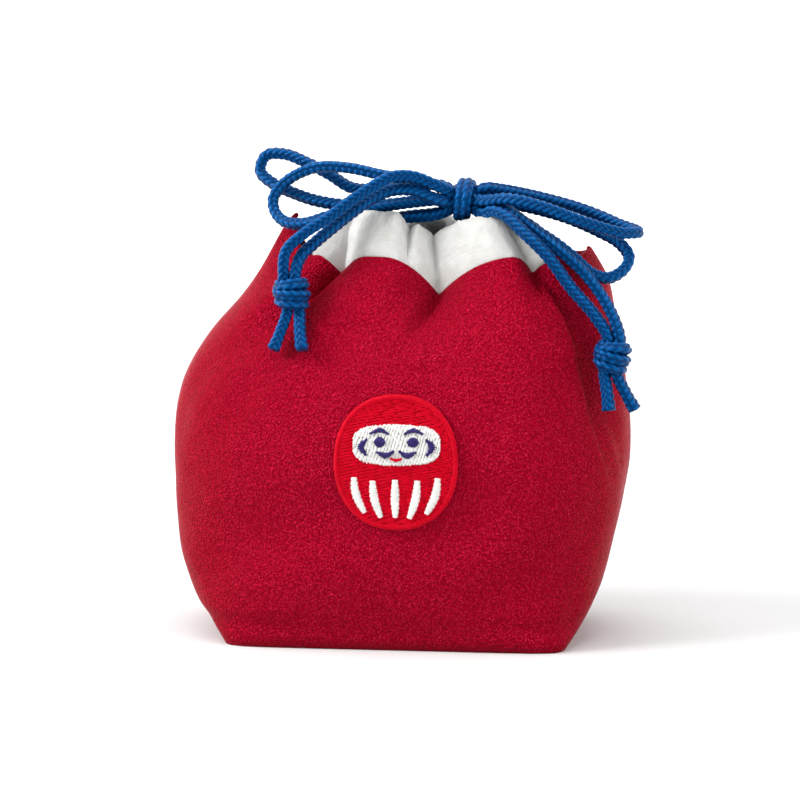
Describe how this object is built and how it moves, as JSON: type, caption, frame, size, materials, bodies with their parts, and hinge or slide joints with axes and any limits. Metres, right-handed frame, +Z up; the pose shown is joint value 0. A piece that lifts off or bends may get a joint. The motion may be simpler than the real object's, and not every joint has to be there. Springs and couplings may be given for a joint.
{
  "type": "drawstring pouch",
  "caption": "Small gathered crepe pouch standing on a flat box-cornered base, with white cord casings, braided cords tied in a bow and an embroidered daruma on the front.",
  "frame": {"origin": "middle of the flat base, on the surface that the pouch stands on", "axes": "+Z up; +X to the right of the embroidered front, which faces -Y"},
  "size_m": [0.1587, 0.0848, 0.1637],
  "materials": {
    "red_crepe": "matt, pebbled crepe",
    "white_cloth": "matt, plain weave",
    "embroidery_thread": "satin thread",
    "blue_braid": "satin braid"
  },
  "bodies": {
    "root": {"pouch_body": "red_crepe", "casing_front": "white_cloth", "casing_back": "white_cloth", "embroidered_badge": "embroidery_thread", "bow_knot": "blue_braid", "end_knot_left": "blue_braid", "end_knot_right": "blue_braid", "lead_left_front": "blue_braid", "lead_left_back": "blue_braid", "lead_right_front": "blue_braid", "lead_right_back": "blue_braid", "loop_left_upper": "blue_braid", "loop_left_lower": "blue_braid", "loop_right_upper": "blue_braid", "loop_right_lower": "blue_braid", "tail_left_front": "blue_braid", "tail_left_back": "blue_braid", "tail_right_front": "blue_braid", "tail_right_back": "blue_braid", "cut_end_left_front": "blue_braid", "cut_end_left_back": "blue_braid", "cut_end_right_front": "blue_braid", "cut_end_right_back": "blue_braid"}
  },
  "joints": []
}
